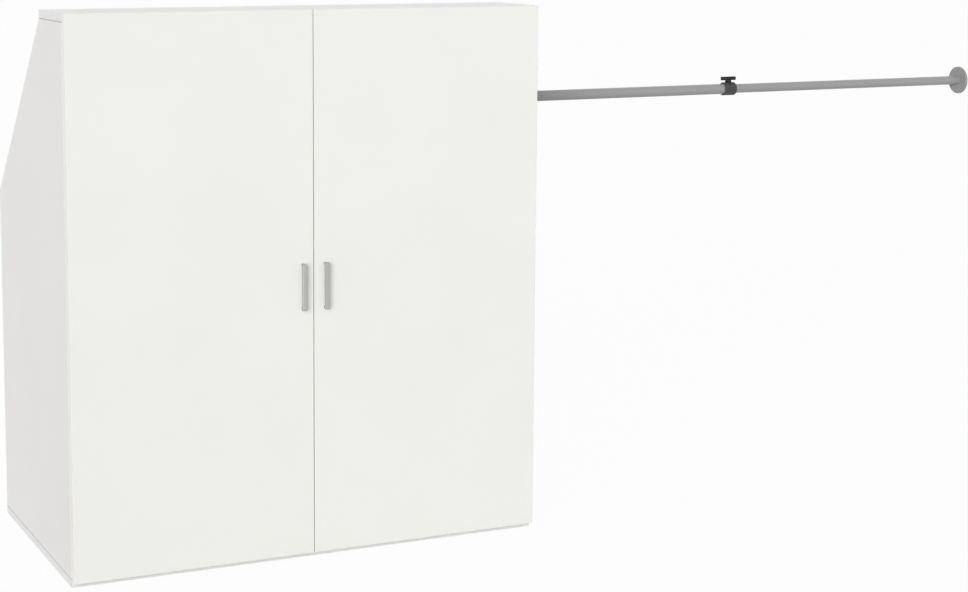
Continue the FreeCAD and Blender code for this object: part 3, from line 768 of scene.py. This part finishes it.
# screws with a cross: sizes in metres, and the shares of head, height and length that shape them
screwSet = {
    "hinge_cup_screws": {"head": 0.0035, "height": 0.0015, "shank": 0.0018, "length": 0.010},
    "hinge_plate_screws": {"head": 0.00425, "height": 0.0020, "shank": 0.0024, "length": 0.011},
    "handle_screws": {"head": 0.0040, "height": 0.0024, "shank": 0.0020, "length": 0.020},
    "rail_socket_screws": {"head": 0.0035, "height": 0.0018, "shank": 0.0019, "length": 0.012},
    "hinge_adjusters": {"head": 0.0031, "height": 0.0011, "shank": 0.0020, "length": 0.003},
    "cam_faces": {"head": 0.0074, "height": 0.0008, "shank": 0.0070, "length": 0.002},
}
screwForm = {
    "steps": 48,
    "rings": 15,
    "domeRadius": 0.94,
    "domeFoot": 0.62,
    "wallTop": 0.45,
    "pointLength": 0.6,
    "crossDepth": 0.85,
    "sunkCrossDepth": 0.4,
}
crossForm = {"armWidth": 0.17, "armLength": 0.66, "wallFade": 0.35, "endFade": 0.12, "rise": 0.45}


# cross: full depth inside an arm's width and length, fading at its walls and ends, shallower further out
def crossDepth(radius, turn, head, depth):
    across, up = np.abs(radius * np.cos(turn)), np.abs(radius * np.sin(turn))
    armWidth, armLength = crossForm["armWidth"] * head, crossForm["armLength"] * head
    fade = crossForm["wallFade"]
    inArm = np.clip(1 + fade - np.minimum(across, up) / armWidth, 0, fade) / fade
    inReach = np.clip((armLength - np.maximum(across, up)) / (crossForm["endFade"] * head), 0, 1)
    return depth * inArm * inReach * (1 - crossForm["rise"] * radius / armLength)


# screw head rows: radius share from the rim to the middle, and the turn round it
def headGrid():
    turn = np.linspace(0, 2 * np.pi, screwForm["steps"], endpoint=False)
    return turn, allRound(np.linspace(1, 0, screwForm["rings"]), screwForm["steps"])


# screw: pointed shank, low wall, and a dome foot + (1 - foot)(1 - share squared) with the cross taken out
def screwShape(head, height, shank, length):
    steps, foot = screwForm["steps"], screwForm["domeFoot"]
    turn, share = headGrid()
    domeRadius = screwForm["domeRadius"] * head * share
    dome = height * (foot + (1 - foot) * (1 - share**2))
    dome = dome - crossDepth(domeRadius, turn, head, screwForm["crossDepth"] * height)
    point = min(shank, screwForm["pointLength"] * length)
    stemAlong = allRound([-length, -length + point, 0, 0, screwForm["wallTop"] * height], steps)
    stemRadius = allRound([0, shank, shank, head, head], steps)
    return lathe(np.concatenate([stemAlong, dome]), np.concatenate([stemRadius, domeRadius]), steps)


# countersunk screw: pointed shank, a cone as deep as it is wide, and a flat face with the cross taken out
def sunkScrewShape(head, shank, length):
    steps = screwForm["steps"]
    turn, share = headGrid()
    face = -crossDepth(head * share, turn, head, screwForm["sunkCrossDepth"] * head)
    stemAlong = allRound([-length, -length + 2 * shank, shank - head], steps)
    stemRadius = allRound([0, shank, shank], steps)
    return lathe(np.concatenate([stemAlong, face]), np.concatenate([stemRadius, head * share]), steps)


# where screws sit: distances from the boards' faces and edges, and half of the way between two screws
places = {
    "earFromBore": 0.0095,
    "earThickness": 0.001,
    "earHalf": 0.0225,
    "plateFromFront": 0.037,
    "plateThickness": 0.002,
    "plateHalf": 0.016,
    "adjustersFromFront": (0.0545, 0.0405),
    "armHeight": 0.0099,
    "handleHalf": 0.048,
    "socketThickness": 0.003,
    "socketHalf": 0.020,
    "camsFromEnd": 0.034,
    "topCamsFromRim": 0.040,
    "bottomCamsFromRim": 0.060,
    "camTurn": 0.7,  # radians from one cam to the next
}
innerFace, doorBack = sideLow.x, doorHigh.y


# stations: every pair of a y and a z at one x
def stations(x, ys, zs):
    gridY, gridZ = np.meshgrid(ys, zs)
    return np.stack([np.full(gridY.size, x), gridY.ravel(), gridZ.ravel()], -1)


# pairs: each middle less half, then each middle plus half
def pairs(middles, half):
    return np.concatenate([np.atleast_1d(middles) - half, np.atleast_1d(middles) + half])


def addScrews(name, kind, spots, direction, body, replaced=()):
    addPiece(name, spread(screwShape(**screwSet[kind]), spots, direction), finishes["zincScrew"], body,
             replaced)


earTop, plateY = doorBack + places["earThickness"], front + places["plateFromFront"]
adjusterYs = front + np.array(places["adjustersFromFront"])
for side, name in sides:
    cupSpots = stations(side * (boreX - places["earFromBore"]), [earTop], pairs(hingeZs, places["earHalf"]))
    addScrews(name + "_cup_screws", "hinge_cup_screws", cupSpots, (0, 1, 0), name + "_door",
              [name + "_hinge_cup_screws"])
    plateX = side * (innerFace - places["plateThickness"])
    plateSpots = stations(plateX, [plateY], pairs(hingeZs, places["plateHalf"]))
    addScrews(name + "_plate_screws", "hinge_plate_screws", plateSpots, (-side, 0, 0), "carcass",
              [name + "_hinge_plate_screws"])
    handle = middleOf(name + "_handle")
    handleSpots = stations(handle.x, [doorBack], pairs(handle.z, places["handleHalf"]))
    addScrews(name + "_handle_bolts", "handle_screws", handleSpots, (0, 1, 0), name + "_door",
              [name + "_handle_screws"])
    adjusterSpots = stations(side * (innerFace - places["armHeight"]), adjusterYs, hingeZs)
    addScrews(name + "_hinge_adjusters", "hinge_adjusters", adjusterSpots, (-side, 0, 0), "carcass")

socketShape = screwShape(**screwSet["rail_socket_screws"])
socketX, socketYs = innerFace - places["socketThickness"], pairs(rail.y, places["socketHalf"])
addPiece("socket_screws", joined(
    spread(socketShape, stations(-socketX, socketYs, [rail.z]), (1, 0, 0)),
    spread(socketShape, stations(socketX, socketYs, [rail.z]), (-1, 0, 0))),
    finishes["zincScrew"], "carcass", ["rail_socket_screws"])

camShape, camTurn = screwShape(**screwSet["cam_faces"]), places["camTurn"]
bottomYs = [front + places["bottomCamsFromRim"], rear - places["bottomCamsFromRim"]]
topYs = [front + places["topCamsFromRim"], topHigh.y - places["topCamsFromRim"]]
camSpots = np.concatenate([
    stations(0, bottomYs, [sideLow.z + places["camsFromEnd"]]),
    stations(0, topYs, [sideHigh.z - places["camsFromEnd"]]),
])
faceShift = np.array((innerFace, 0, 0))
addPiece("cam_faces", joined(
    spread(camShape, camSpots - faceShift, (1, 0, 0), camTurn),
    spread(camShape, camSpots + faceShift, (-1, 0, 0), camTurn)),
    finishes["castZinc"], "carcass", ["cam_discs"])

# flange screws, flush in their sinks, evenly on a circle
flangeScrews = {
    "count": 3,
    "circle": 0.025,
    "cabinet": {"head": 0.0038, "shank": 0.0018, "length": 0.016},
    "wall": {"head": 0.0043, "shank": 0.0019, "length": 0.0048},
}


# circle of spots: the first on top, then every equal share of a turn
def flangeSpots(x):
    turn = np.pi / 2 + np.arange(flangeScrews["count"]) * 2 * np.pi / flangeScrews["count"]
    ys, zs = flangeScrews["circle"] * np.cos(turn), flangeScrews["circle"] * np.sin(turn)
    return np.stack([np.full(len(turn), x), rail.y + ys, rail.z + zs], -1)


# each flange's free face is level with the end of its tube
cabinetFree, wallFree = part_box("outer_rail_tube")[0].x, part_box("inner_rail_tube")[1].x
cabinetScrew, wallScrew = (sunkScrewShape(**flangeScrews[key]) for key in ("cabinet", "wall"))
addPiece("flange_screws", spread(cabinetScrew, flangeSpots(cabinetFree), (1, 0, 0)), finishes["zincScrew"],
         "carcass", ["cabinet_flange_screws"])
addPiece("wall_flange_screws", spread(wallScrew, flangeSpots(wallFree), (-1, 0, 0)), finishes["greyFlange"],
         "sliding_rail")
print("screws ready")

# back panel nails: low domes along the rims and the battens
nailSet = {
    "radius": 0.0016,
    "height": 0.0006,
    "profileAlong": (-1, -1, 0.3, 0.75, 1.0),  # in heights
    "profileRadius": (0, 1, 1, 0.6, 0),  # in radii
    "steps": 10,
    "fromSides": 0.0050,
    "fromBottom": 0.0048,
    "fromKnee": 0.030,
    "slopeSpan": (0.05, 0.96),  # shares of the slope
    "across": 8,
    "upright": 7,
    "leaning": 5,
}


# nail frame: full rows at the first and last level, and the two end nails at each level between
def nailFrame(levels):
    endX = backHigh.x - nailSet["fromSides"]
    xs = np.linspace(-endX, endX, nailSet["across"])
    spots = [(x, *level) for level in levels[[0, -1]] for x in xs]
    spots += [(x, *level) for level in levels[1:-1] for x in xs[[0, -1]]]
    return np.array(spots)


# upright panel: even levels in z; sloped panel: the knee plus a share of run and rise
def nailRows():
    zs = np.linspace(backLow.z + nailSet["fromBottom"], kneeLevel - nailSet["fromKnee"], nailSet["upright"])
    shares = np.linspace(*nailSet["slopeSpan"], nailSet["leaning"])
    upright = np.stack([np.full_like(zs, rear), zs], -1)
    leaning = np.stack([rear - slopeRun * shares, kneeLevel + slopeRise * shares], -1)
    return nailFrame(upright), nailFrame(leaning)


# nail: its profile of heights and radii, lathed
def nailShape():
    along = nailSet["height"] * np.array(nailSet["profileAlong"])
    return lathe(along, nailSet["radius"] * np.array(nailSet["profileRadius"]), nailSet["steps"])


uprightNails, leaningNails = nailRows()
addPiece("back_panel_nails", joined(
    spread(nailShape(), uprightNails, (0, 1, 0)),
    spread(nailShape(), leaningNails, (0, slopeRise, slopeRun))),
    finishes["zincScrew"], "carcass")

# handle: a bar with softened ends on two square posts, in the box of its CAD solid
handleSet = {
    "post": 0.006,
    "bar": 0.0065,
    "frontRound": 0.0030,
    "rearRound": 0.0014,
    "postRound": 0.0010,
    "ease": 0.0011,
    "easeSegments": 4,
    "sunk": 0.0008,
    "smooth": 60,
}


# each square corner becomes a quarter circle: centre - r (next cos a + previous sin a)
def roundedOutline(corners, radii, segments=6):
    corners, radii = np.array(corners), np.array(radii)[:, None]
    toNext = np.roll(corners, -1, 0) - corners
    toNext /= np.linalg.norm(toNext, axis=1)[:, None]
    toLast = -np.roll(toNext, 1, 0)
    centre = corners + radii * (toNext + toLast)
    angle = np.linspace(0, np.pi / 2, segments + 1)[None, :, None]
    swept = toNext[:, None] * np.cos(angle) + toLast[:, None] * np.sin(angle)
    return (centre[:, None] - radii[:, None] * swept).reshape(-1, 2)


# bar: its side outline carried across its width; post: a rounded square carried from the bar to the door
def handleShape(low, high):
    size, middle = handleSet, (low + high) / 2
    rearFace, ease = low.y + size["bar"], size["ease"]
    corners = [(rearFace, low.z), (rearFace, high.z), (low.y, high.z), (low.y, low.z)]
    outline = roundedOutline(corners, [size["rearRound"]] * 2 + [size["frontRound"]] * 2)
    surfaces = [easedPrism(outline, "x", low.x, high.x, ease, ease, size["easeSegments"])]
    half = size["post"] / 2
    square = roundedOutline([(-half, -half), (half, -half), (half, half), (-half, half)],
                            [size["postRound"]] * 4)
    for z in pairs(middle.z, places["handleHalf"]):
        surfaces.append(easedPrism(square + (z, middle.x), "y", rearFace - size["sunk"], high.y, 0, 0))
    return joined(*surfaces)


# door bumpers: clear domes behind the closing edges
bumperSet = {"radius": 0.0025, "height": 0.0018, "fullness": 0.8, "rows": 7, "steps": 24}


# dome: height times sin t to the power of fullness, at radius times cos t
def bumperShape():
    turn = np.linspace(0, np.pi / 2, bumperSet["rows"])
    along = np.concatenate([[0.0], bumperSet["height"] * np.sin(turn) ** bumperSet["fullness"]])
    radius = np.concatenate([[0.0], bumperSet["radius"] * np.cos(turn)])
    radius[-1] = 0
    return lathe(along, radius, bumperSet["steps"])


for side, name in sides:
    addPiece(name + "_bar_handle", handleShape(*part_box(name + "_handle")), finishes["satinHandle"],
             name + "_door", [name + "_handle"], handleSet["smooth"])
    low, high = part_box(name + "_door_bumpers")
    bumperZs = [low.z + bumperSet["radius"], high.z - bumperSet["radius"]]
    bumperSpots = stations((low.x + high.x) / 2, [low.y], bumperZs)
    addPiece(name + "_clear_bumpers", spread(bumperShape(), bumperSpots, (0, 1, 0)), finishes["milkyRubber"],
             name + "_door", [name + "_door_bumpers"])
print("handles and bumpers ready")

# clamp: a moulded collar round the tubes, a flared neck, and a bar on a stem to turn
clampSet = {
    "back": -0.0165,
    "front": 0.016,
    "radius": 0.0162,
    "round": 0.0015,
    "roundRows": 9,
    "lip": 0.0008,
    "lipSink": 0.3,
    "wideBore": 0.0126,
    "slimBore": 0.0113,
    "step": 0.0061,
    "collarSteps": 64,
    "neckFoot": 0.0115,
    "neckTop": 0.0175,
    "neckEase": 0.0006,
    "neckRadius": 0.0082,
    "neckRows": 10,
    "flare": 0.0045,
    "stemSteps": 48,
    "stemAlong": (0.0134, 0.0134, 0.0178, 0.0178, 0.0183, 0.0192, 0.0204, 0.0214, 0.0224, 0.0224),
    "stemRadius": (0, 0.003, 0.003, 0.0076, 0.0080, 0.0074, 0.0071, 0.0072, 0.0074, 0),
    "smooth": 40,
}
clampMiddle = (middleOf("wing_screw").x, rail.y, rail.z)


# collar: a lathed ring with a lip at the back, a quarter-round front edge and a stepped bore
def collarShape():
    size = clampSet
    back, lip, radius = size["back"], size["lip"], size["radius"]
    turn = np.linspace(0, np.pi / 2, size["roundRows"])
    bendAlong = size["front"] - size["round"] + size["round"] * np.sin(turn)
    bendRadius = radius - size["round"] + size["round"] * np.cos(turn)
    lipAlong = [back, back, back + lip, back + 3 * lip, back + 4 * lip]
    lipRadius = [size["wideBore"], radius - lip, radius, radius, radius - size["lipSink"] * lip]
    boreAlong = [size["front"], size["step"], size["step"]]
    boreRadius = [size["slimBore"], size["slimBore"], size["wideBore"]]
    along = np.concatenate([lipAlong, bendAlong, boreAlong])
    radii = np.concatenate([lipRadius, bendRadius, boreRadius])
    points, faces = lathe(along, radii, size["collarSteps"], wrapRows=True)
    return points + clampMiddle, faces


# a lathed shape stood on end, its axis up from the rail's
def onEnd(along, radius):
    points, faces = lathe(along, radius, clampSet["stemSteps"])
    return points[:, [1, 2, 0]] + clampMiddle, faces


# neck: neckRadius + flare (1 - share) squared, from its foot in the collar to an eased top
def neckShape():
    size = clampSet
    foot, top, ease = size["neckFoot"], size["neckTop"], size["neckEase"]
    share = np.linspace(0, 1, size["neckRows"])
    along = np.concatenate([[foot], foot + (top - ease - foot) * share, [top, top]])
    radius = size["neckRadius"] + size["flare"] * (1 - share) ** 2
    return onEnd(along, np.concatenate([[0], radius, [size["neckRadius"] - ease, 0]]))


# stem: its profile of levels and radii, lathed
def stemShape():
    return onEnd(np.array(clampSet["stemAlong"]), np.array(clampSet["stemRadius"]))


# the clamp's bar: half sizes along x, y and z, and its middle above the rail's axis
barSet = {
    "half": (0.02025, 0.0045, 0.0045),
    "middle": 0.0257,
    "rows": 61,
    "steps": 36,
    "endPower": 24,
    "endRoot": 1 / 4,
    "waist": 0.86,
    "sectionPower": 2 / 5,
    "ribHeight": 0.03,
    "ribPitch": 0.0026,
    "ribSpan": (0.35, 0.93),
    "smooth": 50,
}


# bar: a superellipse section carried along x, closed by the end power, waisted, with cosine ribs on its sides
def barShape():
    halfX, halfY, halfZ = barSet["half"]
    rows, steps, power = barSet["rows"], barSet["steps"], barSet["sectionPower"]
    share = np.sin(np.linspace(-np.pi / 2, np.pi / 2, rows))
    reach = np.abs(share)
    close = (1 - reach ** barSet["endPower"]) ** barSet["endRoot"]
    waist = barSet["waist"] + (1 - barSet["waist"]) * share**2
    ribbed = (reach > barSet["ribSpan"][0]) * (reach < barSet["ribSpan"][1])
    ribs = 1 + barSet["ribHeight"] * np.cos(2 * np.pi * share * halfX / barSet["ribPitch"]) * ribbed
    angle = np.linspace(0, 2 * np.pi, steps, endpoint=False)
    sectionY = np.sign(np.cos(angle)) * np.abs(np.cos(angle)) ** power
    sectionZ = np.sign(np.sin(angle)) * np.abs(np.sin(angle)) ** power
    pointsX = allRound(halfX * share, steps)
    pointsY = halfY * (close * waist * ribs)[:, None] * sectionY
    pointsZ = barSet["middle"] + halfZ * close[:, None] * sectionZ
    points = np.stack([pointsX, pointsY, pointsZ], -1).reshape(-1, 3)
    return points + clampMiddle, gridQuads(rows, steps)


addPiece("clamp_collar", collarShape(), finishes["blackCollar"], "carcass", ["clamp_sleeve"],
         clampSet["smooth"])
addPiece("clamp_neck", neckShape(), finishes["blackKnob"], "carcass", (), clampSet["smooth"])
addPiece("clamp_knob", joined(stemShape(), barShape()), finishes["blackKnob"], "clamp_screw",
         ["wing_screw"], barSet["smooth"])
print("clamp ready")

# floor, sky and two soft lamps; the floor and sky show brighter than they light
stageSet = {
    "floorRadius": 40.0,
    "floorSteps": 64,
    "floorDrop": 0.0004,
    "floorColour": (0.65, 0.65, 0.647),
    "floorGlow": 0.963,
    "skyStrength": 0.538,
    "white": (1, 1, 1, 1),
    "lampDistance": 6.0,
}
lampSet = {
    "key": {"towards": (-0.595, -0.797, 0.149), "degrees": 40.0, "power": 2.62},
    "rear": {"towards": (0.55, 0.75, 0.28), "degrees": 60.0, "power": 0.55},
}


# one for the rays that show the surroundings, zero for those that light the object
def showingRays(tree):
    rays = addNode(tree, "LightPath").outputs
    seen = doMath(tree, "MAXIMUM", rays["Is Camera Ray"], rays["Is Glossy Ray"])
    return doMath(tree, "MAXIMUM", seen, rays["Is Transmission Ray"])


def floorMaterial():
    material = bpy.data.materials.new("paleFloor")
    tree = emptyTree(material)
    matt = addNode(tree, "BsdfDiffuse", {"Color": shaded(stageSet["floorColour"])})
    glow = addNode(tree, "Emission", {"Color": stageSet["white"], "Strength": 1.0})
    share = doMath(tree, "MULTIPLY", showingRays(tree), stageSet["floorGlow"])
    both = addNode(tree, "MixShader", {0: share, 1: matt.outputs[0], 2: glow.outputs[0]})
    addNode(tree, "OutputMaterial", {"Surface": both.outputs[0]})
    return material


# floor: one round face, radius (cos t, sin t), just under the boards
def layFloor():
    turn = np.linspace(0, 2 * np.pi, stageSet["floorSteps"], endpoint=False)
    radius, level = stageSet["floorRadius"], np.full(len(turn), -stageSet["floorDrop"])
    rim = np.stack([radius * np.cos(turn), radius * np.sin(turn), level], -1)
    mesh = bpy.data.meshes.new("floor")
    mesh.from_pydata(rim.tolist(), [], [list(range(len(turn)))])
    floor = bpy.data.objects.new("floor", mesh)
    scene.collection.objects.link(floor)
    mesh.materials.append(floorMaterial())


def lightWorld():
    world = bpy.data.worlds.new("softSky")
    scene.world = world
    tree = emptyTree(world)
    strength = spanTo(tree, showingRays(tree), (0, 1), (stageSet["skyStrength"], 1))
    sky = addNode(tree, "Background", {"Color": stageSet["white"], "Strength": strength})
    addNode(tree, "OutputWorld", {"Surface": sky.outputs[0]})


def hangLamp(name, towards, degrees, power):
    data = bpy.data.lights.new(name, "SUN")
    data.angle = math.radians(degrees)
    data.energy = power
    lamp = bpy.data.objects.new(name, data)
    lamp.location = Vector(towards) * stageSet["lampDistance"]
    lamp.rotation_euler = Vector(towards).to_track_quat("Z", "Y").to_euler()
    scene.collection.objects.link(lamp)


layFloor()
lightWorld()
for name, values in lampSet.items():
    hangLamp(name + "Lamp", **values)
print("stage ready:", len(lampSet), "lamps")
